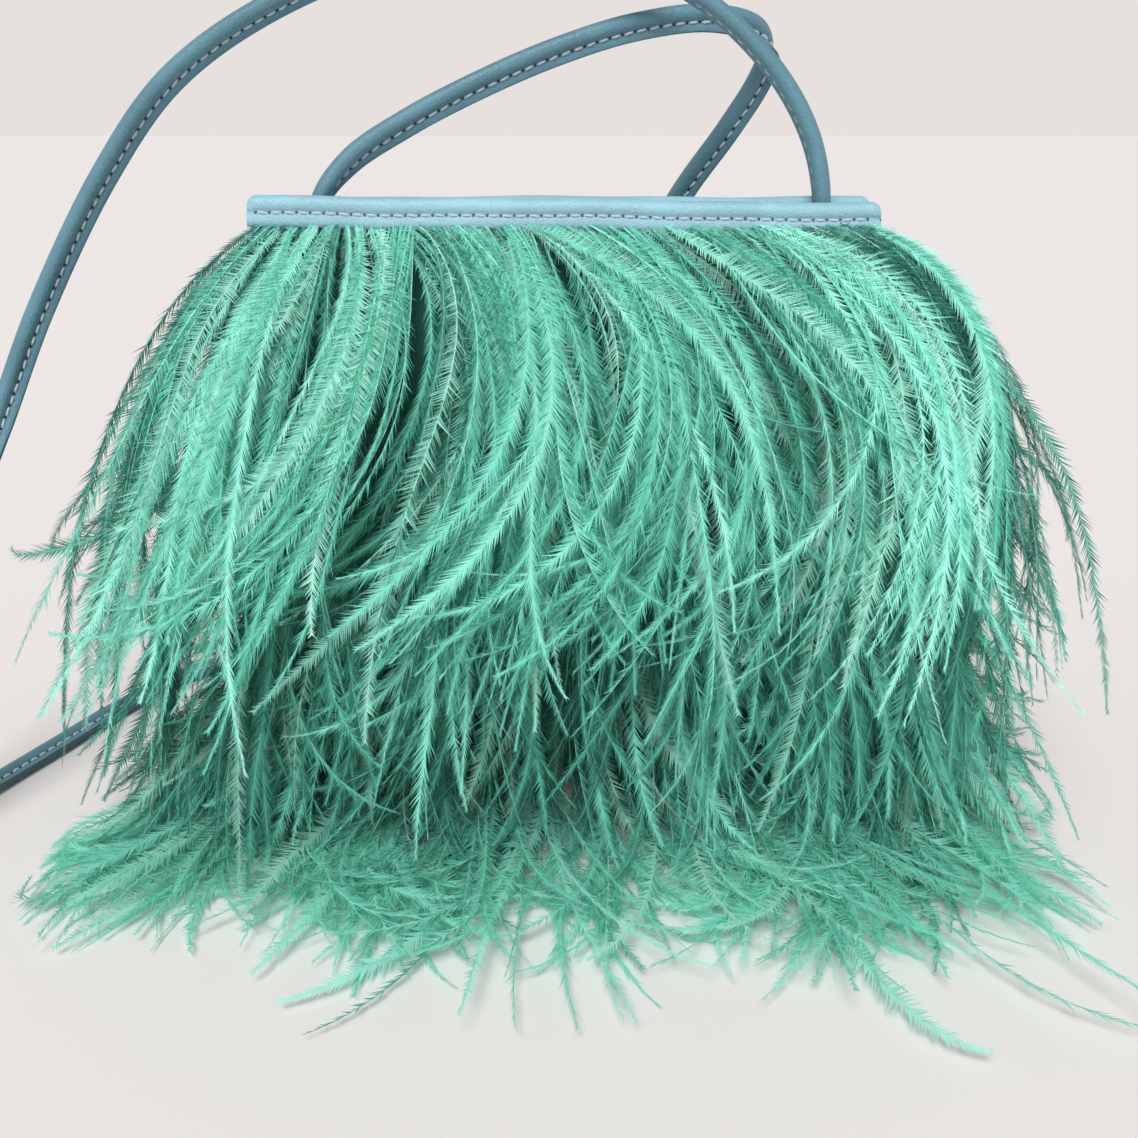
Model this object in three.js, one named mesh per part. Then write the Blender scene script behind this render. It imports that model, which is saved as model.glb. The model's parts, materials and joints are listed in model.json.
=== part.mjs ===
// Small crossbody bag covered in dyed ostrich-feather fringe, with leather-bound rims and one
// long piped leather strap. Millimetres, +Z up, +X to the right seen from the front, which faces -Y.
// The origin is the middle of the base's underside, which stands on z = 0.
import * as THREE from 'three';

// ---- Driving dimensions -------------------------------------------------------------------
const GAP = 0.3; // clearance between pieces that touch
const RIM_WIDTH = 210; // length of each leather-bound rim
const RIM_HEIGHT = 212; // top of the rims above the table
const RIM_MIDDLE_Y = 7.9; // from the bag's mid-plane to the middle of a rim
const PANEL_WIDTH = 208;

// Base tray
const BASE_WIDTH = 206;
const BASE_DEPTH = 40;
const BASE_PANEL_THICKNESS = 1.5;
const BASE_BOARD_THICKNESS = 1.6;
const BASE_LINING_THICKNESS = 0.6;
const BASE_INSET = 1.5; // board and lining stop this far inside the leather's edge

// Each half of the bag stands in its own frame: the hinge line at its foot is that frame's
// X axis, Z runs up the half's middle plane, and the outside of the bag is -Y.
const HINGE_Y = 18.3;
const HINGE_Z = 5;
const HALF_HEIGHT = Math.hypot(RIM_HEIGHT - HINGE_Z, HINGE_Y - RIM_MIDDLE_Y);
const LEAN = Math.atan2(HINGE_Y - RIM_MIDDLE_Y, RIM_HEIGHT - HINGE_Z);
const LAYERS_FOOT = 1; // the layers start this far above the hinge line
const OUTER_PANEL_Y = [-1.7, -0.7];
const STIFFENER_Y = [-0.4, 0.6];
const LINING_Y = [0.9, 1.7];

// Rim binding: leather folded over a filler cord, then sewn through the layers below it
const BINDING_LEATHER = 0.9;
const BINDING_HEIGHT = 10.2;
const ROLL_RADIUS = 3;
const ROLL_LOOP = Math.PI * 0.27; // the roll wraps this far past its middle on each side
const STITCH_DEPTH = 5.6; // stitch line below the top of the rim
const SEAM_HALF = 2.4; // half thickness at the stitch line
const FLANGE_HALF = 2.9;
const FLANGE_DROP = 0.8; // the flanges are fully open this far below the stitch line
const FILLER_RADIUS = 1.8;
const FILLER_INSET = 2; // the filler cord stops this far inside each end of the rim
const LAYERS_TOP = HALF_HEIGHT - STITCH_DEPTH - FLANGE_DROP - GAP;

// Leather facing inside the mouth, with a covered magnet
const FACING_WIDTH = 156;
const FACING_Y = [2.0, 2.8];
const FACING_HEIGHT = 36;
const FACING_TOP = HALF_HEIGHT - BINDING_HEIGHT - GAP;
const MAGNET_RADIUS = 7;
const MAGNET_Y = [3.1, 7.1];
const MAGNET_DROP = 22; // middle of the magnet below the top of the rim
const CAP_Y = [3.1, 8.7];
const CAP_WALL = 1.3;
// The cap's outside, from its foot to the edge of its flat crown: radius, then depth below the crown
const CAP_DOME = [[9.5, 5.6], [8.9, 1.8], [6.9, 0.4], [0, 0]];

// Side gussets: each folds inwards at the top along its middle, as a closed bag's side does
const GUSSET_FOOT_Z = 6;
const GUSSET_TOP_Z = 192;
const GUSSET_FOOT = { foldX: 101.6, foldY: 0.15, edgeX: 101.6, edgeY: 15.9 };
const GUSSET_TOP = { foldX: 88.9, foldY: 1.95, edgeX: 102.6, edgeY: 6.8 };
const GUSSET_LINING = [0, 0.5];
const GUSSET_SHELL = [0.8, 1.6];
const GUSSET_DIVISIONS = [5, 10]; // across and up, enough for the twisted sheets to lie true

// Feather trim: four rows of flues sewn to tapes. Heights run up the half's own frame.
const TAPE_THICKNESS = 0.8;
const TAPE_HEIGHT = 8;
const TAPE_WIDTH = 204;
const TAPE_Y = OUTER_PANEL_Y[0] - GAP;
const TAPE_FEET = [186, 121, 58, 3];
const FLUE_ROOT_OUT = [3.1, 9];
const FLUE_ROOT_WIDTH = 206;
// Foot of each hanging row: how far out and how high its inner and outer edges end
const FRONT_ROWS = [
  { top: 184, inner: [72, 50], outer: [92, 60], width: 296 },
  { top: 119, inner: [52, 20], outer: [78, 22], width: 300 },
  { top: 56, inner: [16, 13], outer: [48, 18], width: 270 },
];
const BACK_ROWS = [
  { top: 184, inner: [45, 50], outer: [60, 60], width: 256 },
  { top: 119, inner: [34, 20], outer: [54, 22], width: 260 },
  { top: 56, inner: [14, 13], outer: [31, 18], width: 240 },
];
// The lowest row lies out over the table
const TABLE_ROW_Z = [0.4, 15, 5];
const TABLE_ROW_START_Y = 26;
const TABLE_ROW_START_WIDTH = 216;
const FRONT_TABLE_ROW = { reach: 168, width: 324 };
const BACK_TABLE_ROW = { reach: 84, width: 270 };

// Strap: leather folded over a filler cord and stitched, 9 mm wide with its flange
const STRAP_STEPS = 92;
const STRAP_SECTION = [
  [4.5, 0], [3.9, 1.7], [2.1, 2.8], [-0.1, 2.1], [-1.4, 1.2], [-4.5, 1.1],
  [-4.5, -1.1], [-1.4, -1.2], [-0.1, -2.1], [2.1, -2.8], [3.9, -1.7],
];
// Patches that the strap's tails are sewn to, inside the folds of the gussets
const PATCH = { x: 87.7, thickness: 0.7, depth: 3.4, bottom: 174, height: 17 };

// Middle line of the strap, then the side on which its rounded roll lies, point by point
const STRAP_ROUTE = [
  [-84.5, 0, 172, 0, -1, 0],
  [-84.5, 0, 192, 0, -1, 0],
  [-82.5, 0.2, 210, -0.2, -1, 0.1],
  [-72, 3, 223.5, -0.5, -0.6, 0.6],
  [-54, 6, 235, -0.4, -0.3, 1],
  [-31, 10, 246.5, -0.3, -0.2, 1],
  [-3, 15, 258, -0.25, -0.15, 1],
  [24, 19, 266, -0.15, -0.1, 1],
  [50, 22, 269, -0.2, 0, 1],
  [66, 26, 265.5, -0.4, 0, 1],
  [71.5, 33, 258.5, -0.6, 0, 0.8],
  [69.5, 40, 249.5, -0.7, 0, 0.7],
  [60, 45.5, 233.5, -0.8, 0, 0.55],
  [44, 53, 210, -0.85, 0.1, 0.45],
  [22, 63, 168, -0.8, 0.3, 0.4],
  [-5, 77, 112, -0.7, 0.5, 0.4],
  [-33, 91, 58, -0.5, 0.75, 0.45],
  [-62, 99, 22, -0.3, 0.9, 0.4],
  [-98, 101, 5.5, -0.1, 1, 0.1],
  [-135, 94, 3.1, -0.25, 1, 0],
  [-168, 71, 3.1, -0.6, 0.8, 0],
  [-189, 34, 3.1, -0.88, 0.45, 0],
  [-203, -1, 3.1, -0.92, 0.38, 0],
  [-214, -28, 3.1, -0.93, 0.35, 0],
  [-222, -52, 5, -0.97, 0.2, 0],
  [-226.5, -74, 17, -1, 0.08, 0],
  [-227, -83, 42, -1, 0, 0],
  [-219, -66, 76, -1, 0, 0],
  [-208, -28, 108, -1, -0.15, 0],
  [-200.5, -6, 135, -1, -0.3, 0.1],
  [-184, 4, 174, -0.85, -0.4, 0.35],
  [-157, 8, 219, -0.75, -0.45, 0.45],
  [-132, 10, 249, -0.6, -0.5, 0.55],
  [-99, 12, 270.5, -0.4, -0.6, 0.7],
  [-55, 12, 286, -0.1, -0.7, 0.7],
  [-8, 10, 289, 0.15, -0.8, 0.6],
  [35, 6, 278.5, 0.3, -0.9, 0.3],
  [65, 3, 256, 0.4, -0.9, 0.15],
  [81, 0.5, 232.5, 0.4, -0.9, 0.1],
  [86.5, 0, 210, 0.25, -1, 0],
  [84.5, 0, 191, 0, -1, 0],
  [84.5, 0, 172, 0, -1, 0],
];

// ---- Materials ----------------------------------------------------------------------------
function material(color, roughness, metalness = 0) {
  return new THREE.MeshStandardMaterial({ color, roughness, metalness });
}

const LEATHER = material(0x9fcad7, 0.55);
const STRAP_LEATHER = material(0x6f9faf, 0.55);
const FEATHER = material(0x63b29d, 0.8);
const UNDER_FEATHER = material(0x3b7a69, 0.85);
const TAPE = material(0x357c68, 0.9);
const FELT = material(0x2f7562, 0.95);
const LINING = material(0x8fb8c2, 0.8);
const BOARD = material(0xb7aa92, 0.9);
const FILLER = material(0xe8e4da, 0.9);
const STEEL = material(0xb9bcc0, 0.3, 1);

// ---- Shape helpers ------------------------------------------------------------------------
function piece(name, geometry, finish) {
  const mesh = new THREE.Mesh(geometry, finish);
  mesh.name = name;
  return mesh;
}

// A box between two values on each axis
function slab([x0, x1], [y0, y1], [z0, z1]) {
  const geometry = new THREE.BoxGeometry(x1 - x0, y1 - y0, z1 - z0);
  return geometry.translate((x0 + x1) / 2, (y0 + y1) / 2, (z0 + z1) / 2);
}

// A box whose corners are moved to where cornerAt(x, y, z) puts them, each argument -1 or 1.
// Points between the corners, where it is divided, are spread evenly between them.
function shapedBox(cornerAt, ySegments = 1, zSegments = 1) {
  const geometry = new THREE.BoxGeometry(2, 2, 2, 1, ySegments, zSegments);
  const position = geometry.getAttribute('position');
  const ends = [-1, 1];
  for (let i = 0; i < position.count; i += 1) {
    const unit = new THREE.Vector3().fromBufferAttribute(position, i);
    const moved = new THREE.Vector3();
    for (const x of ends) {
      for (const y of ends) {
        for (const z of ends) {
          const share = (1 + x * unit.x) * (1 + y * unit.y) * (1 + z * unit.z) / 8;
          moved.addScaledVector(new THREE.Vector3(...cornerAt(x, y, z)), share);
        }
      }
    }
    position.setXYZ(i, moved.x, moved.y, moved.z);
  }
  return geometry;
}

// An outline in the YZ plane drawn out along X, with its middle on x = 0
function alongX(shape, width) {
  const geometry = new THREE.ExtrudeGeometry(shape, { depth: width, bevelEnabled: false, curveSegments: 10 });
  geometry.translate(0, 0, -width / 2);
  geometry.rotateZ(Math.PI / 2);
  return geometry.rotateY(Math.PI / 2);
}

// ---- Base ---------------------------------------------------------------------------------
function baseTray() {
  const group = new THREE.Group();
  const x = [-BASE_WIDTH / 2, BASE_WIDTH / 2];
  const y = [-BASE_DEPTH / 2, BASE_DEPTH / 2];
  const boardX = [x[0] + BASE_INSET, x[1] - BASE_INSET];
  const boardY = [y[0] + BASE_INSET, y[1] - BASE_INSET];
  const boardZ = BASE_PANEL_THICKNESS + GAP;
  const liningZ = boardZ + BASE_BOARD_THICKNESS + GAP;
  group.add(piece('base_panel', slab(x, y, [0, BASE_PANEL_THICKNESS]), LEATHER));
  group.add(piece('base_board', slab(boardX, boardY, [boardZ, boardZ + BASE_BOARD_THICKNESS]), BOARD));
  group.add(piece('base_lining', slab(boardX, boardY, [liningZ, liningZ + BASE_LINING_THICKNESS]), LINING));
  return group;
}

// ---- One half of the bag, in its own frame --------------------------------------------------
function layer(name, y, finish) {
  const x = [-PANEL_WIDTH / 2, PANEL_WIDTH / 2];
  return piece(name, slab(x, y, [LAYERS_FOOT, LAYERS_TOP]), finish);
}

// The binding's section: a loop round the filler cord that narrows to the stitch line and
// opens again into the two flanges that hold the layers
function bindingSection() {
  const wall = BINDING_LEATHER;
  const rollZ = HALF_HEIGHT - ROLL_RADIUS;
  const seamZ = HALF_HEIGHT - STITCH_DEPTH;
  const flangeZ = seamZ - FLANGE_DROP;
  const footZ = HALF_HEIGHT - BINDING_HEIGHT;
  const shape = new THREE.Shape();
  shape.moveTo(FLANGE_HALF, footZ);
  shape.lineTo(FLANGE_HALF, flangeZ);
  shape.lineTo(SEAM_HALF, seamZ);
  shape.absarc(0, rollZ, ROLL_RADIUS, -ROLL_LOOP, Math.PI + ROLL_LOOP, false);
  shape.lineTo(-SEAM_HALF, seamZ);
  shape.lineTo(-FLANGE_HALF, flangeZ);
  shape.lineTo(-FLANGE_HALF, footZ);
  shape.lineTo(wall - FLANGE_HALF, footZ);
  shape.lineTo(wall - FLANGE_HALF, flangeZ);
  shape.lineTo(wall - SEAM_HALF, seamZ);
  shape.absarc(0, rollZ, ROLL_RADIUS - wall, Math.PI + ROLL_LOOP, -ROLL_LOOP, true);
  shape.lineTo(SEAM_HALF - wall, seamZ);
  shape.lineTo(FLANGE_HALF - wall, flangeZ);
  shape.lineTo(FLANGE_HALF - wall, footZ);
  shape.closePath();
  return shape;
}

function rimBinding(side) {
  return piece(`${side}_rim_binding`, alongX(bindingSection(), RIM_WIDTH), LEATHER);
}

function rimFiller(side) {
  const length = RIM_WIDTH - 2 * FILLER_INSET;
  const geometry = new THREE.CylinderGeometry(FILLER_RADIUS, FILLER_RADIUS, length, 12);
  const filler = piece(`${side}_rim_filler_cord`, geometry, FILLER);
  filler.rotation.z = Math.PI / 2;
  filler.position.z = HALF_HEIGHT - ROLL_RADIUS;
  return filler;
}

function facing(side) {
  const x = [-FACING_WIDTH / 2, FACING_WIDTH / 2];
  const z = [FACING_TOP - FACING_HEIGHT, FACING_TOP];
  return piece(`${side}_facing`, slab(x, FACING_Y, z), LEATHER);
}

// The magnet is a disc on the facing, under a domed leather cap that is open towards it
function magnet(side) {
  const thickness = MAGNET_Y[1] - MAGNET_Y[0];
  const geometry = new THREE.CylinderGeometry(MAGNET_RADIUS, MAGNET_RADIUS, thickness, 24);
  const disc = piece(`${side}_snap_magnet`, geometry, STEEL);
  disc.position.set(0, MAGNET_Y[0] + thickness / 2, HALF_HEIGHT - MAGNET_DROP);
  return disc;
}

function magnetCap(side) {
  const [foot, crown] = CAP_Y;
  const inner = MAGNET_RADIUS + GAP;
  const ceiling = crown - CAP_WALL;
  const dome = CAP_DOME.map(([radius, depth]) => [radius, crown - depth]);
  const profile = [[inner, foot], ...dome, [0, ceiling], [inner, ceiling], [inner, foot]];
  const points = profile.map(([radius, y]) => new THREE.Vector2(radius, y));
  const cap = piece(`${side}_snap_cap`, new THREE.LatheGeometry(points, 28), LEATHER);
  cap.position.z = HALF_HEIGHT - MAGNET_DROP;
  return cap;
}

function tape(side, row) {
  const x = [-TAPE_WIDTH / 2, TAPE_WIDTH / 2];
  const foot = TAPE_FEET[row];
  const geometry = slab(x, [TAPE_Y - TAPE_THICKNESS, TAPE_Y], [foot, foot + TAPE_HEIGHT]);
  return piece(`${side}_feather_tape_${row + 1}`, geometry, TAPE);
}

// A hanging row of flues as one solid: narrow where it is sewn on, spread out and away below
function hangingRow(side, row, { top, inner, outer, width }) {
  const geometry = shapedBox((x, y, z) => {
    const isOuter = y < 0;
    if (z > 0) {
      return [x * FLUE_ROOT_WIDTH / 2, -FLUE_ROOT_OUT[isOuter ? 1 : 0], top];
    }
    const [out, height] = isOuter ? outer : inner;
    return [x * width / 2, -out, height];
  });
  return piece(`${side}_feathers_${row + 1}`, geometry, row === 0 ? FEATHER : UNDER_FEATHER);
}

// One half: leans towards the other one, so that the two rims nearly meet
function bagHalf(side, rows) {
  const half = new THREE.Group();
  half.position.set(0, -HINGE_Y, HINGE_Z);
  half.rotation.x = -LEAN;
  half.add(layer(`${side}_outer_panel`, OUTER_PANEL_Y, FELT));
  half.add(layer(`${side}_stiffener`, STIFFENER_Y, BOARD));
  half.add(layer(`${side}_lining`, LINING_Y, LINING));
  half.add(rimBinding(side), rimFiller(side), facing(side), magnet(side), magnetCap(side));
  TAPE_FEET.forEach((_, row) => half.add(tape(side, row)));
  rows.forEach((size, row) => half.add(hangingRow(side, row, size)));
  return half;
}

// ---- Lowest rows, lying out over the table ---------------------------------------------------
function tableRow(side, { reach, width }) {
  const [foot, rootTop, endTop] = TABLE_ROW_Z;
  const geometry = shapedBox((x, y, z) => {
    const isEnd = y < 0;
    const halfWidth = (isEnd ? width : TABLE_ROW_START_WIDTH) / 2;
    const height = isEnd ? endTop : rootTop;
    return [x * halfWidth, isEnd ? -reach : -TABLE_ROW_START_Y, z > 0 ? height : foot];
  });
  return piece(`${side}_feathers_4`, geometry, UNDER_FEATHER);
}

// ---- Gussets --------------------------------------------------------------------------------
// A corner of a gusset half in one level's plane: along its line, then out through its layers
function gussetCorner({ foldX, foldY, edgeX, edgeY }, atEdge, out, height) {
  const line = new THREE.Vector2(edgeX - foldX, foldY - edgeY).normalize();
  const start = atEdge ? [edgeX, -edgeY] : [foldX, -foldY];
  return [start[0] - line.y * out, start[1] + line.x * out, height];
}

// The front half of the right gusset, between two depths out from its inner face
function gussetHalf([inner, outer]) {
  return shapedBox((x, y, z) => {
    const level = z > 0 ? GUSSET_TOP : GUSSET_FOOT;
    return gussetCorner(level, y < 0, x > 0 ? outer : inner, z > 0 ? GUSSET_TOP_Z : GUSSET_FOOT_Z);
  }, ...GUSSET_DIVISIONS);
}

// Mirrors a geometry in X and turns its faces out again
function mirroredInX(geometry) {
  const mirrored = geometry.clone().scale(-1, 1, 1);
  const order = mirrored.getIndex();
  for (let i = 0; i < order.count; i += 3) {
    const second = order.getX(i + 1);
    order.setX(i + 1, order.getX(i + 2));
    order.setX(i + 2, second);
  }
  return mirrored;
}

function gussets() {
  const group = new THREE.Group();
  const kinds = [['gusset', GUSSET_SHELL, FELT], ['gusset_lining', GUSSET_LINING, LINING]];
  for (const [kind, depths, finish] of kinds) {
    const right = gussetHalf(depths);
    const left = mirroredInX(right);
    group.add(piece(`right_${kind}_front`, right, finish), piece(`left_${kind}_front`, left, finish));
    const turned = new THREE.Group();
    turned.rotation.z = Math.PI;
    turned.add(piece(`left_${kind}_back`, right, finish), piece(`right_${kind}_back`, left, finish));
    group.add(turned);
  }
  return group;
}

// ---- Strap ------------------------------------------------------------------------------------
// A smooth curve whose frames keep the strap's roll on the stated side
class StrapCurve extends THREE.CatmullRomCurve3 {
  constructor(route) {
    super(route.map(([x, y, z]) => new THREE.Vector3(x, y, z)));
    this.rollSides = route.map((point) => new THREE.Vector3(...point.slice(3)));
  }

  rollSideAt(t) {
    const place = Math.min(t, 1) * (this.rollSides.length - 1);
    const before = Math.min(Math.floor(place), this.rollSides.length - 2);
    return this.rollSides[before].clone().lerp(this.rollSides[before + 1], place - before);
  }

  computeFrenetFrames(steps) {
    const frames = { tangents: [], normals: [], binormals: [] };
    for (let i = 0; i <= steps; i += 1) {
      const t = this.getUtoTmapping(i / steps);
      const tangent = this.getTangent(t);
      const side = this.rollSideAt(t);
      const normal = side.addScaledVector(tangent, -side.dot(tangent)).normalize();
      frames.tangents.push(tangent);
      frames.normals.push(normal);
      frames.binormals.push(tangent.clone().cross(normal));
    }
    return frames;
  }
}

function strap() {
  const section = new THREE.Shape(STRAP_SECTION.map(([x, y]) => new THREE.Vector2(x, y)));
  const extrudePath = new StrapCurve(STRAP_ROUTE);
  const geometry = new THREE.ExtrudeGeometry(section, { steps: STRAP_STEPS, extrudePath });
  return piece('strap', geometry, STRAP_LEATHER);
}

function strapPatches() {
  const group = new THREE.Group();
  const { x, thickness, depth, bottom, height } = PATCH;
  const y = [-depth / 2, depth / 2];
  const z = [bottom, bottom + height];
  group.add(piece('right_strap_patch', slab([x, x + thickness], y, z), LEATHER));
  group.add(piece('left_strap_patch', slab([-x - thickness, -x], y, z), LEATHER));
  return group;
}

// ---- Assembly -----------------------------------------------------------------------------------
const bag = new THREE.Group();
const backHalf = new THREE.Group();
backHalf.rotation.z = Math.PI;
backHalf.add(bagHalf('back', BACK_ROWS), tableRow('back', BACK_TABLE_ROW));
bag.add(baseTray(), bagHalf('front', FRONT_ROWS), tableRow('front', FRONT_TABLE_ROW), backHalf);
bag.add(gussets(), strap(), strapPatches());

export default bag;
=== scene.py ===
"""Looks of the feather crossbody bag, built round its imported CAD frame. Lengths are in metres,
+Z up, the front faces -Y, and the origin is the middle of the base's underside."""
import json
import math

import bpy
import numpy as np
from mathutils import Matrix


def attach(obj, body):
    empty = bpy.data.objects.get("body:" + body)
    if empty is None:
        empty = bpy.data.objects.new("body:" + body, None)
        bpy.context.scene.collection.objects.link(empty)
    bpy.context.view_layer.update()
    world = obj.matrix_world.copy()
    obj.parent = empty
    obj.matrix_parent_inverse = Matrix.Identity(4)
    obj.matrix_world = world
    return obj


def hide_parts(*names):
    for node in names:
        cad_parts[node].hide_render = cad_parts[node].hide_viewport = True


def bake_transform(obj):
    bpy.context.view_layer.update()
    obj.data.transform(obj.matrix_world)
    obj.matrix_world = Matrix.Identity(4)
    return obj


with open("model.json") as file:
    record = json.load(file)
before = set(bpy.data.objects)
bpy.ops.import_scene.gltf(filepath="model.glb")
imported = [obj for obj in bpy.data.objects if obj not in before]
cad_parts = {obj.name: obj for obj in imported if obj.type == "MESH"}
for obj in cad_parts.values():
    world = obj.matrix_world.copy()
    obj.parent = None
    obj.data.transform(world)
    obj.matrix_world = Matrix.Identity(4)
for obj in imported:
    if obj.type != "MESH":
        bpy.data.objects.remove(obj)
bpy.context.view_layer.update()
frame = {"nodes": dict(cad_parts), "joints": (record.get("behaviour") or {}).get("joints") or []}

# ---- Sizes that the CAD model also states -----------------------------------------------------
MM = 0.001
HINGE = np.array(frame["joints"][0]["pos_m"])
RIM_MIDDLE_Y = 7.9 * MM
RIM_TOP = 212 * MM
LEAN = math.atan2(-HINGE[1] - RIM_MIDDLE_Y, RIM_TOP - HINGE[2])
HALF_HEIGHT = math.hypot(-HINGE[1] - RIM_MIDDLE_Y, RIM_TOP - HINGE[2])
RIM_WIDTH = 210 * MM
STITCH_DEPTH = 5.6 * MM
STITCH_PITCH = 4.5 * MM

# Middle line of the strap in millimetres, then the side on which its roll lies, point by point
STRAP_ROUTE = [
    (-84.5, 0, 172, 0, -1, 0),
    (-84.5, 0, 192, 0, -1, 0),
    (-82.5, 0.2, 210, -0.2, -1, 0.1),
    (-72, 3, 223.5, -0.5, -0.6, 0.6),
    (-54, 6, 235, -0.4, -0.3, 1),
    (-31, 10, 246.5, -0.3, -0.2, 1),
    (-3, 15, 258, -0.25, -0.15, 1),
    (24, 19, 266, -0.15, -0.1, 1),
    (50, 22, 269, -0.2, 0, 1),
    (66, 26, 265.5, -0.4, 0, 1),
    (71.5, 33, 258.5, -0.6, 0, 0.8),
    (69.5, 40, 249.5, -0.7, 0, 0.7),
    (60, 45.5, 233.5, -0.8, 0, 0.55),
    (44, 53, 210, -0.85, 0.1, 0.45),
    (22, 63, 168, -0.8, 0.3, 0.4),
    (-5, 77, 112, -0.7, 0.5, 0.4),
    (-33, 91, 58, -0.5, 0.75, 0.45),
    (-62, 99, 22, -0.3, 0.9, 0.4),
    (-98, 101, 5.5, -0.1, 1, 0.1),
    (-135, 94, 3.1, -0.25, 1, 0),
    (-168, 71, 3.1, -0.6, 0.8, 0),
    (-189, 34, 3.1, -0.88, 0.45, 0),
    (-203, -1, 3.1, -0.92, 0.38, 0),
    (-214, -28, 3.1, -0.93, 0.35, 0),
    (-222, -52, 5, -0.97, 0.2, 0),
    (-226.5, -74, 17, -1, 0.08, 0),
    (-227, -83, 42, -1, 0, 0),
    (-219, -66, 76, -1, 0, 0),
    (-208, -28, 108, -1, -0.15, 0),
    (-200.5, -6, 135, -1, -0.3, 0.1),
    (-184, 4, 174, -0.85, -0.4, 0.35),
    (-157, 8, 219, -0.75, -0.45, 0.45),
    (-132, 10, 249, -0.6, -0.5, 0.55),
    (-99, 12, 270.5, -0.4, -0.6, 0.7),
    (-55, 12, 286, -0.1, -0.7, 0.7),
    (-8, 10, 289, 0.15, -0.8, 0.6),
    (35, 6, 278.5, 0.3, -0.9, 0.3),
    (65, 3, 256, 0.4, -0.9, 0.15),
    (81, 0.5, 232.5, 0.4, -0.9, 0.1),
    (86.5, 0, 210, 0.25, -1, 0),
    (84.5, 0, 191, 0, -1, 0),
    (84.5, 0, 172, 0, -1, 0),
]


# ---- Mesh helpers -------------------------------------------------------------------------------
def mesh_piece(name, points, faces, finish, smooth=True, **values):
    """A mesh object. faces is a list of (count, corners) index arrays, values are numbers at each point."""
    mesh = bpy.data.meshes.new(name)
    mesh.vertices.add(len(points))
    mesh.vertices.foreach_set("co", np.asarray(points, np.float32).ravel())
    corners = np.concatenate([np.asarray(f, np.int32).ravel() for f in faces])
    sizes = np.concatenate([np.full(len(f), np.shape(f)[1]) for f in faces])
    mesh.loops.add(len(corners))
    mesh.loops.foreach_set("vertex_index", corners)
    mesh.polygons.add(len(sizes))
    starts = np.concatenate([[0], np.cumsum(sizes)[:-1]])
    mesh.polygons.foreach_set("loop_start", starts.astype(np.int32))
    mesh.polygons.foreach_set("use_smooth", np.full(len(sizes), smooth))
    mesh.update(calc_edges=True)
    for key, numbers in values.items():
        attribute = mesh.attributes.new(key, "FLOAT", "POINT")
        attribute.data.foreach_set("value", np.asarray(numbers, np.float32).ravel())
    mesh.materials.append(finish)
    piece = bpy.data.objects.new(name, mesh)
    bpy.context.scene.collection.objects.link(piece)
    return piece


def loft_faces(rings, around):
    """Quads between rings of points, each ring closed on itself, and a face on each end."""
    ring, spot = np.meshgrid(np.arange(rings - 1), np.arange(around), indexing="ij")
    after = (spot + 1) % around
    quads = np.stack([ring * around + spot, ring * around + after,
                      (ring + 1) * around + after, (ring + 1) * around + spot], -1).reshape(-1, 4)
    start = np.arange(around)[::-1][None]
    end = (rings - 1) * around + np.arange(around)[None]
    return [quads, start, end]


def repeated_faces(faces, count, stride, first=0):
    """The same faces on count copies of a shape, whose points follow each other from first on."""
    offsets = first + np.arange(count)[:, None, None] * stride
    return [(part[None] + offsets).reshape(-1, part.shape[1]) for part in faces]


def unit(vectors):
    return vectors / np.maximum(np.linalg.norm(vectors, axis=-1, keepdims=True), 1e-12)


def smoothed(values, reach):
    """Each row becomes the mean of the rows up to reach away on both sides."""
    padded = np.concatenate([np.repeat(values[:1], reach, 0), values, np.repeat(values[-1:], reach, 0)])
    total = np.cumsum(np.concatenate([np.zeros_like(padded[:1]), padded]), 0)
    return (total[2 * reach + 1:] - total[:-2 * reach - 1]) / (2 * reach + 1)


def half_points(side, points):
    """Points in a half's own frame (x, in, up from the hinge line) moved to the row frame."""
    x, inward, up = np.moveaxis(np.asarray(points, float), -1, 0)
    y = HINGE[1] + inward * math.cos(LEAN) + up * math.sin(LEAN)
    z = HINGE[2] - inward * math.sin(LEAN) + up * math.cos(LEAN)
    turn = 1 if side == "front" else -1
    return np.stack([x * turn, y * turn, z], -1)


def half_directions(side, vectors):
    return half_points(side, vectors) - half_points(side, np.zeros(3))


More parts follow.
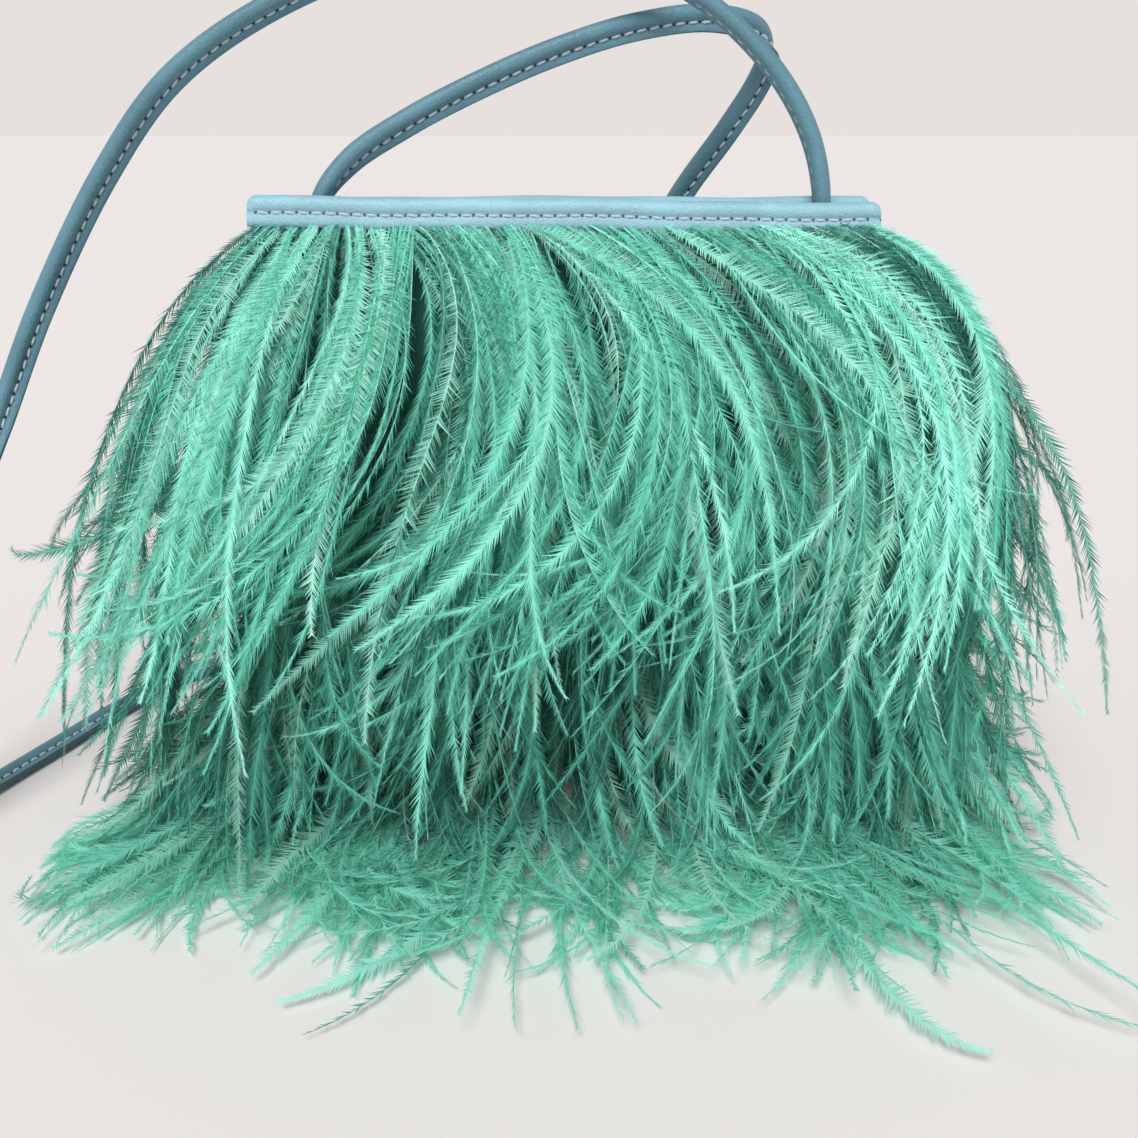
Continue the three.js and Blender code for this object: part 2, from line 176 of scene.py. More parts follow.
# ---- Material helpers -----------------------------------------------------------------------------
class Finish:
    """A Principled material while its nodes are wired up."""

    def __init__(self, name, roughness, **constants):
        self.material = bpy.data.materials.new(name)
        self.material.use_nodes = True
        self.tree = self.material.node_tree
        self.shader = self.tree.nodes["Principled BSDF"]
        self.shader.inputs["Roughness"].default_value = roughness
        for socket, value in constants.items():
            self.shader.inputs[socket.replace("_", " ")].default_value = value
        self.place = self.tree.nodes.new("ShaderNodeTexCoord").outputs["Object"]

    def feed(self, socket, value):
        """Wires an output to the socket, or sets the socket's own value."""
        if isinstance(value, bpy.types.NodeSocket):
            self.tree.links.new(value, socket)
        elif value is not None:
            socket.default_value = value

    def noise(self, scale, detail=3, stretch=None):
        node = self.tree.nodes.new("ShaderNodeTexNoise")
        node.inputs["Scale"].default_value = scale
        node.inputs["Detail"].default_value = detail
        self.feed(node.inputs["Vector"], self.stretched(stretch))
        return node.outputs["Fac"]

    def cells(self, scale):
        node = self.tree.nodes.new("ShaderNodeTexVoronoi")
        node.inputs["Scale"].default_value = scale
        self.feed(node.inputs["Vector"], self.place)
        return node.outputs["Distance"]

    def wave(self, scale, direction, distortion=0.0):
        node = self.tree.nodes.new("ShaderNodeTexWave")
        node.bands_direction = direction
        node.inputs["Scale"].default_value = scale
        node.inputs["Distortion"].default_value = distortion
        self.feed(node.inputs["Vector"], self.place)
        return node.outputs["Fac"]

    def stretched(self, factors):
        """The place on the piece, scaled so that a pattern is drawn out along the axes with small factors."""
        if factors is None:
            return self.place
        node = self.tree.nodes.new("ShaderNodeMapping")
        node.inputs["Scale"].default_value = factors
        self.feed(node.inputs["Vector"], self.place)
        return node.outputs["Vector"]

    def value(self, name):
        """A number that the mesh holds at each point."""
        node = self.tree.nodes.new("ShaderNodeAttribute")
        node.attribute_name = name
        return node.outputs["Fac"]

    def combine(self, operation, first, second=None):
        """The result of a sum on one number or two."""
        node = self.tree.nodes.new("ShaderNodeMath")
        node.operation = operation
        self.feed(node.inputs[0], first)
        self.feed(node.inputs[1], second)
        return node.outputs[0]

    def fade(self, value, low, high, start=0.0, end=1.0):
        """start where value is low, end where it is high, and a smooth change between."""
        node = self.tree.nodes.new("ShaderNodeMapRange")
        node.interpolation_type = "SMOOTHSTEP"
        self.feed(node.inputs["Value"], value)
        for socket, number in (("From Min", low), ("From Max", high), ("To Min", start), ("To Max", end)):
            node.inputs[socket].default_value = number
        return node.outputs["Result"]

    def mix(self, share, first, second):
        """The first colour where share is 0, the second where it is 1."""
        node = self.tree.nodes.new("ShaderNodeMix")
        node.data_type = "RGBA"
        self.feed(node.inputs["Factor"], share)
        a, b = [s for s in node.inputs if s.type == "RGBA"]
        self.feed(a, first if isinstance(first, bpy.types.NodeSocket) else (*first, 1))
        self.feed(b, second if isinstance(second, bpy.types.NodeSocket) else (*second, 1))
        return next(s for s in node.outputs if s.type == "RGBA")

    def colour(self, value):
        self.feed(self.shader.inputs["Base Color"], value)

    def roughness(self, value):
        self.feed(self.shader.inputs["Roughness"], value)

    def bump(self, height, distance):
        """Raises the surface by height times distance, on top of what is already raised."""
        node = self.tree.nodes.new("ShaderNodeBump")
        node.inputs["Distance"].default_value = distance
        self.feed(node.inputs["Height"], height)
        normal = self.shader.inputs["Normal"]
        if normal.is_linked:
            self.feed(node.inputs["Normal"], normal.links[0].from_socket)
        self.feed(normal, node.outputs["Normal"])


def shade(colour, factor):
    """The colour made darker or lighter."""
    return tuple(min(1.0, c * factor) for c in colour)


# ---- Leather ------------------------------------------------------------------------------------
# Each is where it starts to fade and where it has gone
HOLE_ALONG = (0.05, 0.11)  # from a stitch's end, as a share of the pitch
HOLE_ACROSS = (0.28 * MM, 0.55 * MM)
# painted shade in the crease beside a seam
CREASE_SHADE_ACROSS = (0.2 * MM, 1.1 * MM)
PAINT_SOFTNESS = (-0.2 * MM, 0.1 * MM)


def leather(name, colour, stitched=False, edge=None):
    """Fine-grained smooth leather. On a stitched piece the values along and across are the distances
    along the seam and from it; edge is how far from the seam its painted cut edge starts."""
    finish = Finish(name, 0.46, Specular_IOR_Level=0.45)
    mottle = finish.noise(55, 4)
    tone = finish.mix(finish.fade(mottle, 0.3, 0.7), shade(colour, 0.9), shade(colour, 1.08))
    pebbles = finish.noise(1100, 2)
    tone = finish.mix(finish.fade(pebbles, 0.3, 0.55, 0.4, 0.0), tone, shade(colour, 0.78))
    grain = finish.cells(1500)
    tone = finish.mix(finish.fade(grain, 0.0, 0.35, 0.3, 0.0), tone, shade(colour, 0.72))
    finish.bump(grain, 0.00012)
    finish.bump(pebbles, 0.00015)
    finish.bump(finish.noise(420, 2), 0.0002)
    if stitched:
        along = finish.combine("FRACT", finish.combine("DIVIDE", finish.value("along"), STITCH_PITCH))
        from_middle = finish.combine("ABSOLUTE", finish.combine("SUBTRACT", along, 0.5))
        from_hole = finish.combine("SUBTRACT", 0.5, from_middle)
        from_seam = finish.combine("ABSOLUTE", finish.value("across"))
        # needle holes: a dent in the bump, and painted shade inside them
        hole_dent_and_shade = finish.combine("MULTIPLY", finish.fade(from_hole, *HOLE_ALONG, 1.0, 0.0),
                              finish.fade(from_seam, *HOLE_ACROSS, 1.0, 0.0))
        # painted shade darkens the crease beside the seam
        crease_shade = finish.fade(from_seam, *CREASE_SHADE_ACROSS, 0.32, 0.0)
        tone = finish.mix(crease_shade, tone, shade(colour, 0.5))
        tone = finish.mix(hole_dent_and_shade, tone, shade(colour, 0.16))
        finish.bump(finish.combine("MULTIPLY", hole_dent_and_shade, -1), 0.0004)
    if edge is not None:
        start, end = (edge + soft for soft in PAINT_SOFTNESS)
        paint = finish.fade(finish.value("across"), start, end, 1.0, 0.0)
        tone = finish.mix(paint, tone, shade(colour, 0.42))
    finish.colour(tone)
    finish.roughness(finish.fade(mottle, 0.25, 0.75, 0.4, 0.52))
    return finish.material


def thread(name, colour):
    """Waxed thread, twisted from strands."""
    finish = Finish(name, 0.6, Sheen_Weight=0.3)
    strands = finish.wave(900, "DIAGONAL")
    finish.colour(finish.mix(strands, shade(colour, 0.72), colour))
    finish.bump(strands, 0.00008)
    return finish.material


RIM_COLOUR = (0.30, 0.55, 0.65)
# painted shade: the strap is given a much darker colour than the rim, for the shade it lies in
SHADED_STRAP_COLOUR = (0.107, 0.25, 0.315)
LEATHER = leather("leather_plain", RIM_COLOUR)
RIM_LEATHER = leather("leather_rim", RIM_COLOUR, stitched=True)
STRAP_LEATHER = leather("leather_strap_shaded", SHADED_STRAP_COLOUR, stitched=True, edge=-2.85 * MM)
THREAD = thread("thread_pale", (0.62, 0.68, 0.80))

# ---- Stitches -----------------------------------------------------------------------------------
# Along a stitch from its middle, and how thick the thread is there
STITCH_RINGS = ((-1, 0.25), (-0.82, 0.75), (-0.4, 1), (0.4, 1), (0.82, 0.75), (1, 0.25))
STITCH_SIDES = 6
STITCH_LENGTH = 3.5 * MM
STITCH_RADIUS = 0.48 * MM
STITCH_SLANT, SLANT_SPREAD = 0.07, 0.05
LENGTH_UNEVENNESS = 0.04
STITCH_RISE, STITCH_DIP = 0.55, 1.1  # of its middle, and from there to its ends, in thread radii


def stitches(name, centres, along, normals, sideways):
    """Short lengths of thread on a surface, that dip into their holes at both ends."""
    rng = np.random.default_rng(len(centres))
    slant = rng.normal(STITCH_SLANT, SLANT_SPREAD, (len(centres), 1))
    half = STITCH_LENGTH / 2 * rng.normal(1, LENGTH_UNEVENNESS, (len(centres), 1))
    angle = np.arange(STITCH_SIDES) * 2 * math.pi / STITCH_SIDES
    rings = []
    for place, size in STITCH_RINGS:
        rise = STITCH_RADIUS * (STITCH_RISE - STITCH_DIP * place ** 4)
        middle = centres + (along + sideways * slant) * place * half + normals * rise
        across = sideways[:, None] * np.cos(angle)[None, :, None]
        raised = normals[:, None] * np.sin(angle)[None, :, None]
        rings.append(middle[:, None] + (across + raised) * STITCH_RADIUS * size)
    points = np.stack(rings, 1)
    faces = repeated_faces(loft_faces(len(rings), STITCH_SIDES), len(centres), len(rings) * STITCH_SIDES)
    return mesh_piece(name, points.reshape(-1, 3), faces, THREAD)


# ---- Camera -------------------------------------------------------------------------------------
CAMERA_PLACE = (0.0016, -0.4297, 0.235)
CAMERA_TILT = math.radians(70)
SENSOR = 36
FOCAL_SHARE = 1.072  # focal length over sensor width
NEAREST_SEEN = 0.01


def camera():
    data = bpy.data.cameras.new("camera")
    data.sensor_width = SENSOR
    data.lens = SENSOR * FOCAL_SHARE
    data.clip_start = NEAREST_SEEN
    eye = bpy.data.objects.new("camera", data)
    eye.location = CAMERA_PLACE
    eye.rotation_euler = (CAMERA_TILT, 0, 0)
    bpy.context.scene.collection.objects.link(eye)
    bpy.context.scene.camera = eye


camera()

# ---- Strap --------------------------------------------------------------------------------------
ROLL_MIDDLE, ROLL_RADIUS = 1.7, 2.8  # in the strap's section, in millimetres
ROLL_ENDS = math.radians(140)
ROLL_POINTS = 17
STRAP_SEAM, SEAM_RAISED = -1.35, 0.95  # where the seam is, and its face above the middle of the flange
# From beside the seam to the middle of the cut edge, on one face
FLANGE = [(-0.95, 1.12), (STRAP_SEAM, SEAM_RAISED), (-1.9, 1.08), (-3.0, 1.12), (-4.1, 1.1), (-4.42, 0.92),
          (-4.5, 0.5), (-4.38, 0.12)]
STRAP_RING_SPACING = 1.5 * MM
FINE_STEPS = 60  # between two points of the route
LINE_SMOOTHING, ROLL_SMOOTHING = 2, 8  # in rings


def centripetal(p0, p1, p2, p3, share):
    """The stretch from p1 to p2 of a centripetal Catmull-Rom curve."""
    d0, d1, d2 = (max(np.linalg.norm(b - a) ** 0.5, 1e-9) for a, b in ((p0, p1), (p1, p2), (p2, p3)))
    start = ((p1 - p0) / d0 - (p2 - p0) / (d0 + d1) + (p2 - p1) / d1) * d1
    end = ((p2 - p1) / d1 - (p3 - p1) / (d1 + d2) + (p3 - p2) / d2) * d1
    s = share[:, None]
    return ((2 * s**3 - 3 * s**2 + 1) * p1 + (s**3 - 2 * s**2 + s) * start
            + (3 * s**2 - 2 * s**3) * p2 + (s**3 - s**2) * end)


def strap_line():
    """Evenly spaced points on the strap's middle line, with its direction, its roll's side and its flat's
    normal at each, and the distance between them."""
    route = np.array(STRAP_ROUTE, float)
    places, sides = route[:, :3] * MM, route[:, 3:]
    knots = np.vstack([2 * places[0] - places[1], places, 2 * places[-1] - places[-2]])
    share = np.arange(FINE_STEPS) / FINE_STEPS
    line, roll = [], []
    for i in range(len(places) - 1):
        line.append(centripetal(*knots[i:i + 4], share))
        roll.append(sides[i] + (sides[i + 1] - sides[i]) * share[:, None])
    line = np.vstack([*line, places[-1:]])
    roll = np.vstack([*roll, sides[-1:]])
    run = np.concatenate([[0], np.cumsum(np.linalg.norm(np.diff(line, axis=0), axis=1))])
    at = np.linspace(0, run[-1], round(run[-1] / STRAP_RING_SPACING) + 1)
    line, roll = (np.stack([np.interp(at, run, v[:, k]) for k in range(3)], 1) for v in (line, roll))
    ahead = unit(smoothed(np.gradient(line, axis=0), LINE_SMOOTHING))
    roll = smoothed(unit(roll), ROLL_SMOOTHING)
    roll = unit(roll - ahead * (roll * ahead).sum(1, keepdims=True))
    return line, ahead, roll, np.cross(ahead, roll), at


def strap_section():
    """The closed section round the roll and the flange: (towards the roll, along the flat's normal)."""
    angle = np.linspace(-ROLL_ENDS, ROLL_ENDS, ROLL_POINTS)
    roll = [(ROLL_MIDDLE + ROLL_RADIUS * math.cos(a), ROLL_RADIUS * math.sin(a)) for a in angle]
    return np.array(roll + FLANGE + [(u, -v) for u, v in FLANGE[::-1]]) * MM


def strap():
    line, ahead, roll, flat, run = strap_line()
    section = strap_section()
    points = line[:, None] + roll[:, None] * section[:, :1] + flat[:, None] * section[:, 1:]
    across = np.broadcast_to(section[:, 0] - STRAP_SEAM * MM, points.shape[:2])
    along = np.broadcast_to(run[:, None], points.shape[:2])
    faces = loft_faces(len(line), len(section))
    piece = mesh_piece("strap_leather", points.reshape(-1, 3), faces, STRAP_LEATHER,
                       along=along, across=across)
    middles = (np.arange(int(run[-1] / STITCH_PITCH)) + 0.5) * STITCH_PITCH
    at = np.round(middles / run[-1] * (len(line) - 1)).astype(int)
    on_line = np.stack([np.interp(middles, run, line[:, k]) for k in range(3)], 1)
    on_seam = on_line + roll[at] * STRAP_SEAM * MM
    surface = flat[at] * SEAM_RAISED * MM
    centres = np.concatenate([on_seam + surface, on_seam - surface])
    sewn = stitches("strap_stitching", centres, np.tile(ahead[at], (2, 1)),
                    np.concatenate([flat[at], -flat[at]]), np.tile(roll[at], (2, 1)))
    for part in (piece, sewn):
        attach(part, "root")
    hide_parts("strap")


strap()

# ---- Rims ---------------------------------------------------------------------------------------
RIM_STATIONS = 150
CORNER_STATIONS = 9
CORNER = 3.2 * MM  # rounding of the roll's ends
CORNER_HEIGHT, CORNER_NARROWING = 0.45, 0.35  # shares of the roll's height left, and of its width lost, there
SWELLING = 0.03  # how unevenly the roll is filled
RIM_SAG = 1.2 * MM  # the left end stands this much high and the right end as much low, as the leather settles
SETTLING = ((0.25 * MM, 55, 1.3), (0.15 * MM, 131, 0))  # waves of the rim's height: size, rate and phase
END_CLEARANCE = 2.5 * MM  # from the rim's end to the middle of its last stitch, at least
# The binding's section, in millimetres
BINDING_HEIGHT = 10.2
RIM_ROLL, RIM_LEATHER_THICKNESS = 3.0, 0.9
ROLL_WRAP = math.radians(49)
SEAM_HALF, FLANGE_HALF = 2.4, 2.9


def binding_outline():
    """The binding's closed section in metres: (in, up from the seam), outside first, then its inside."""
    roll_up = STITCH_DEPTH / MM - RIM_ROLL
    foot = STITCH_DEPTH / MM - BINDING_HEIGHT

    def face(wall):
        angle = np.linspace(-ROLL_WRAP, math.pi + ROLL_WRAP, 19)
        radius = RIM_ROLL - wall
        loop = [(radius * math.cos(a), roll_up + radius * math.sin(a)) for a in angle]
        down = [(SEAM_HALF - wall, 0.0), (FLANGE_HALF - wall - 0.1, -0.9), (FLANGE_HALF - wall, -2.4),
                (FLANGE_HALF - wall - 0.05, foot)]
        return [*down[::-1], *loop, *[(-y, z) for y, z in down]]

    return np.array(face(0) + face(RIM_LEATHER_THICKNESS)[::-1]) * MM


def rim_line(side):
    """Places along a rim, closer together at its rounded ends, and how far up the leather settled there."""
    corner = CORNER * (1 - np.cos(np.linspace(0, math.pi / 2, CORNER_STATIONS)))
    inner = np.linspace(CORNER - RIM_WIDTH / 2, RIM_WIDTH / 2 - CORNER, RIM_STATIONS)[1:-1]
    x = np.concatenate([corner - RIM_WIDTH / 2, inner, (RIM_WIDTH / 2 - corner)[::-1]])
    settled = sum(size * np.sin(x * rate + phase) for size, rate, phase in SETTLING)
    if side == "front":
        settled = settled - x / (RIM_WIDTH / 2) * RIM_SAG
    return x, settled


def rim_leather(side, x, settled):
    outline = binding_outline()
    on_roll = outline[:, 1] > 0
    to_corner = 1 - np.clip((RIM_WIDTH / 2 - np.abs(x)) / CORNER, 0, 1)[:, None]
    rounding = CORNER_HEIGHT + (1 - CORNER_HEIGHT) * np.sqrt(1 - to_corner**2)
    narrowing = 1 - CORNER_NARROWING * to_corner**2 * on_roll
    swell = 1 + SWELLING * np.sin(x * 90)[:, None] * on_roll
    up = outline[:, 1] * np.where(on_roll, rounding, 1)
    along = np.broadcast_to(x[:, None], up.shape)
    local = np.stack([along, outline[:, 0] * narrowing * swell,
                      HALF_HEIGHT - STITCH_DEPTH + up + settled[:, None]], -1)
    points = half_points(side, local).reshape(-1, 3)
    return mesh_piece(f"{side}_rim_leather", points, loft_faces(len(x), len(outline)), RIM_LEATHER,
                      along=along + RIM_WIDTH, across=np.broadcast_to(outline[:, 1], up.shape))


def rim_stitching(side, x, settled):
    """Stitches through the binding, on its outer and its inner face."""
    first = math.ceil(RIM_WIDTH / 2 / STITCH_PITCH) * STITCH_PITCH
    middles = first + (np.arange(int(RIM_WIDTH / STITCH_PITCH) - 1) + 0.5) * STITCH_PITCH - RIM_WIDTH
    middles = middles[np.abs(middles) < RIM_WIDTH / 2 - END_CLEARANCE]
    height = HALF_HEIGHT - STITCH_DEPTH + np.interp(middles, x, settled)
    centres, normals = [], []
    for face in (-1, 1):
        spots = np.stack([middles, np.full_like(middles, face * SEAM_HALF * MM), height], -1)
        centres.append(half_points(side, spots))
        normals.append(np.tile(half_directions(side, np.array([0.0, face, 0])), (len(middles), 1)))
    centres, normals = np.concatenate(centres), np.concatenate(normals)
    ahead = np.tile([1.0, 0, 0], (len(centres), 1))
    return stitches(f"{side}_rim_stitching", centres, ahead, normals, np.cross(ahead, normals))


def rim(side, body):
    line = rim_line(side)
    binding = rim_leather(side, *line)
    for part in (binding, rim_stitching(side, *line)):
        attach(part, body)
    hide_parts(f"{side}_rim_binding")


BODY_OF = {"front": "front_half", "back": "root"}
for side, body in BODY_OF.items():
    rim(side, body)


# ---- Mouth: facings' stitching and snap caps --------------------------------------------------------
FACING_HALF_WIDTH = 78 * MM
FACING_HEIGHT = 36 * MM
FACING_FACE = 2.8 * MM  # how far in its inner face is
FACING_FOOT = HALF_HEIGHT - 10.5 * MM - FACING_HEIGHT
FACING_SEAM = 2.4 * MM  # from its edges
SNAP_DROP = 22 * MM
CAP_AROUND = 56
CAP_GATHERS = 14
GATHER_DEPTH = 0.09 * MM
GATHER_OUTSIDE, GATHER_BELOW = 8 * MM, 6 * MM  # they are on the cap's wall
CAP_RING = 10.6 * MM
CAP_RING_STITCHES = 15
# The cap from the middle of its ceiling to the middle of its crown, in millimetres: (radius, in)
CAP_PROFILE = [
    (0.02, 7.4), (7.3, 7.4), (7.3, 3.1), (9.4, 3.1), (9.5, 3.35), (9.42, 4.2), (9.2, 5.6), (8.95, 6.8),
    (8.55, 7.5), (7.9, 8.0), (6.9, 8.3), (4.5, 8.58), (2.2, 8.68), (0.02, 8.7),
]


def snap_cap(side):
    """The leather cap over the magnet, gathered round its wall."""
    profile = np.array(CAP_PROFILE) * MM
    angle = np.arange(CAP_AROUND) * 2 * math.pi / CAP_AROUND
    radius = profile[:, :1] * np.ones(CAP_AROUND)
    gathered = (profile[:, :1] > GATHER_OUTSIDE) & (profile[:, 1:] < GATHER_BELOW)
    radius = radius - gathered * GATHER_DEPTH * (1 + np.cos(angle * CAP_GATHERS))
    local = np.stack([radius * np.cos(angle), profile[:, 1:] * np.ones(CAP_AROUND),
                      HALF_HEIGHT - SNAP_DROP + radius * np.sin(angle)], -1)
    faces = loft_faces(len(profile), CAP_AROUND)
    return mesh_piece(f"{side}_snap_cap_leather", half_points(side, local).reshape(-1, 3), faces, LEATHER)


def facing_stitches(side):
    """Stitches along the foot and the ends of the facing, and round the cap."""
    spots, along = [], []
    edge = FACING_HALF_WIDTH - FACING_SEAM
    foot = FACING_FOOT + FACING_SEAM
    for x in np.arange(-edge + STITCH_PITCH / 2, edge, STITCH_PITCH):
        spots.append((x, FACING_FACE, foot))
        along.append((1, 0, 0))
    for up in np.arange(foot + STITCH_PITCH / 2, FACING_FOOT + FACING_HEIGHT, STITCH_PITCH):
        for x in (-edge, edge):
            spots.append((x, FACING_FACE, up))
            along.append((0, 0, 1))
    for turn in np.arange(CAP_RING_STITCHES) * 2 * math.pi / CAP_RING_STITCHES:
        across, up = math.cos(turn), math.sin(turn)
        spots.append((across * CAP_RING, FACING_FACE, HALF_HEIGHT - SNAP_DROP + up * CAP_RING))
        along.append((-up, 0, across))
    along = half_directions(side, np.array(along, float))
    normals = np.tile(half_directions(side, np.array([0.0, 1, 0])), (len(spots), 1))
    sideways = np.cross(along, normals)
    return stitches(f"{side}_facing_stitching", half_points(side, spots), along, normals, sideways)


for side, body in BODY_OF.items():
    cap = snap_cap(side)
    for part in (cap, facing_stitches(side)):
        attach(part, body)
    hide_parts(f"{side}_snap_cap")


# ---- Cloth, board, cord and metal --------------------------------------------------------------------
def satin():
    finish = Finish("lining_satin", 0.36, Sheen_Weight=0.35, Anisotropic=0.4)
    warp = finish.wave(420, "X", distortion=0.4)
    weft = finish.wave(300, "Z", distortion=0.6)
    weave = finish.combine("MULTIPLY", warp, finish.combine("ADD", 0.5, weft))
    tone = finish.mix(weave, (0.19, 0.36, 0.42), (0.30, 0.50, 0.57))
    wear = finish.fade(finish.noise(40, 3), 0.35, 0.7, 0.0, 0.35)
    finish.colour(finish.mix(wear, tone, (0.22, 0.42, 0.50)))
    finish.bump(weave, 0.00006)
    finish.bump(finish.noise(60, 2), 0.0006)
    return finish.material


def felt():
    finish = Finish("backing_felt", 0.95, Sheen_Weight=0.5)
    fibres = finish.noise(900, 5, stretch=(1, 1, 0.35))
    finish.colour(finish.mix(fibres, (0.015, 0.11, 0.075), (0.04, 0.22, 0.16)))
    finish.bump(fibres, 0.0003)
    finish.bump(finish.noise(260, 4), 0.0004)
    return finish.material


def ribbon():
    finish = Finish("trim_ribbon", 0.75, Sheen_Weight=0.3)
    ribs = finish.wave(260, "X")
    finish.colour(finish.mix(ribs, (0.02, 0.13, 0.09), (0.045, 0.25, 0.18)))
    finish.bump(ribs, 0.00015)
    finish.bump(finish.wave(500, "Z"), 0.00006)
    return finish.material


def board():
    finish = Finish("fibre_board", 0.9)
    fibres = finish.noise(500, 6, stretch=(0.4, 1, 1))
    specks = finish.fade(finish.noise(1400, 2), 0.62, 0.72, 0.0, 0.6)
    tone = finish.mix(fibres, (0.36, 0.30, 0.21), (0.58, 0.51, 0.39))
    finish.colour(finish.mix(specks, tone, (0.16, 0.11, 0.07)))
    finish.bump(fibres, 0.0002)
    return finish.material


def twisted_cotton():
    finish = Finish("filler_cotton", 0.9, Sheen_Weight=0.3)
    strands = finish.wave(130, "DIAGONAL", distortion=0.5)
    finish.colour(finish.mix(strands, (0.55, 0.51, 0.43), (0.84, 0.81, 0.74)))
    finish.bump(strands, 0.0004)
    finish.bump(finish.noise(1200, 3), 0.0001)
    return finish.material


def plated_steel():
    finish = Finish("plated_steel", 0.3, Metallic=1.0)
    brushing = finish.noise(900, 4, stretch=(0.06, 1, 1))
    finish.colour(finish.mix(brushing, (0.46, 0.46, 0.48), (0.62, 0.62, 0.63)))
    finish.roughness(finish.fade(brushing, 0.2, 0.8, 0.22, 0.4))
    finish.bump(brushing, 0.00003)
    return finish.material


FELT, SATIN = felt(), satin()
# What is in the name of a CAD node that Blender shows as it is, and its material
CARRIED_OVER = {
    "outer_panel": FELT, "stiffener": board(), "base_board": board(), "lining": SATIN, "facing": LEATHER,
    "base_panel": LEATHER, "patch": LEATHER, "filler": twisted_cotton(), "magnet": plated_steel(),
    "tape": ribbon(),
}
for node, solid in frame["nodes"].items():
    for word, finish in CARRIED_OVER.items():
        if word in node:
            for place in solid.material_slots:
                place.material = finish

# ---- Gussets ------------------------------------------------------------------------------------------
# At the foot and at the top, in millimetres: height, x of the fold, x and y of the edges
GUSSET_LEVELS = ((6, 101.6, 101.6, 15.9), (192, 88.9, 102.6, 6.8))
GUSSET_ACROSS, GUSSET_UP = 36, 60
FOLD_SOFTNESS = 0.16
RIPPLE = 0.35 * MM
FELT_DEPTHS, SATIN_DEPTHS = (0.8, 1.6), (0.0, 0.5)  # faces of each sheet, in millimetres out


def gusset_sheet(name, hand, depths, finish):
    """A sheet folded inwards along its middle, between two depths out from its inner face."""
    across, up = np.meshgrid(np.linspace(-1, 1, GUSSET_ACROSS + 1), np.linspace(0, 1, GUSSET_UP + 1))
    foot, top = (np.array(level) * MM for level in GUSSET_LEVELS)
    height, fold, edge_x, edge_y = (foot[:, None, None] + (top - foot)[:, None, None] * up)
    opened = np.sqrt(across**2 + FOLD_SOFTNESS**2) - FOLD_SOFTNESS
    opened = opened / (math.hypot(1, FOLD_SOFTNESS) - FOLD_SOFTNESS)
    ripple = RIPPLE * (1 - across**2) * np.sin(up * 23 + across * 2.1) * np.sin(up * math.pi)
    line = np.stack([fold + (edge_x - fold) * opened + ripple, edge_y * across], -1)
    run = unit(np.gradient(line, axis=1))
    out = np.stack([run[..., 1], -run[..., 0]], -1)
    faces_at = [np.concatenate([line + out * depth * MM, height[..., None]], -1) for depth in depths]
    rings = np.concatenate([faces_at[0], faces_at[1][:, ::-1]], 1) * np.array([hand, 1, 1])
    return mesh_piece(name, rings.reshape(-1, 3), loft_faces(GUSSET_UP + 1, 2 * (GUSSET_ACROSS + 1)), finish)


for side_name, hand in (("left", -1), ("right", 1)):
    shell = gusset_sheet(f"{side_name}_gusset_felt", hand, FELT_DEPTHS, FELT)
    inside = gusset_sheet(f"{side_name}_gusset_satin", hand, SATIN_DEPTHS, SATIN)
    for part, node, slot in ((shell, "gusset", "backing_felt"), (inside, "gusset_lining", "lining_satin")):
        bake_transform(part)
        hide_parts(f"{side_name}_{node}_front", f"{side_name}_{node}_back")


# ---- Feather materials ------------------------------------------------------------------------------
def feather(name, lit_colour, middle, shaded_colour, pale, glow_share, painted_root_shade):
    """Dyed ostrich flue. The value tone_and_shade goes from the lit colour to the shaded colour, a painted
    highlight and painted shade along with random differences between flues; faded marks the flues that took
    less dye, reach runs from root to tip, and edge from the quill to the ends of the barbules."""
    finish = Finish(name, 0.48, Sheen_Weight=0.1, Specular_IOR_Level=0.3)
    tone_and_shade = finish.value("tone_and_shade")
    # painted highlight and painted shade: the lit colour at a low value, the shaded colour at a high one
    tone = finish.mix(finish.fade(tone_and_shade, 0.0, 0.5), lit_colour, middle)
    tone = finish.mix(finish.fade(tone_and_shade, 0.5, 1.0), tone, shaded_colour)
    dye = finish.noise(70, 2)
    tone = finish.mix(finish.fade(dye, 0.35, 0.7, 0.0, 0.3), tone, shade(middle, 0.8))
    tone = finish.mix(finish.combine("MULTIPLY", finish.value("faded"), 0.6), tone, pale)
    tone = finish.mix(finish.fade(finish.value("edge"), 0.0, 0.14, 0.45, 0.0), tone, shade(lit_colour, 1.1))
    # painted shade at the roots, which the row above covers
    tone = finish.mix(finish.fade(finish.value("reach"), 0.0, 0.6, painted_root_shade, 0.0), tone, shaded_colour)
    finish.colour(tone)
    glow = finish.tree.nodes.new("ShaderNodeBsdfTranslucent")
    finish.feed(glow.inputs["Color"], tone)
    both = finish.tree.nodes.new("ShaderNodeMixShader")
    both.inputs[0].default_value = glow_share
    finish.feed(both.inputs[1], finish.shader.outputs["BSDF"])
    finish.feed(both.inputs[2], glow.outputs["BSDF"])
    finish.feed(finish.tree.nodes["Material Output"].inputs["Surface"], both.outputs[0])
    return finish.material


# Each gets a lit colour, its middle colour, a shaded colour and a pale one: the lit and shaded colours are
# painted highlight and painted shade
MINT = feather("feather_mint", (0.42, 1.0, 0.86), (0.155, 0.68, 0.52), (0.006, 0.13, 0.088),
               (0.52, 0.83, 0.72), glow_share=0.15, painted_root_shade=0.0)
# painted shade: a darker copy of the mint for the two rows under the top row
SHADED_MINT = feather("feather_mint_shaded", (0.25, 0.78, 0.63), (0.08, 0.42, 0.315), (0.006, 0.095, 0.065),
                    (0.36, 0.62, 0.53), glow_share=0.15, painted_root_shade=0.15)
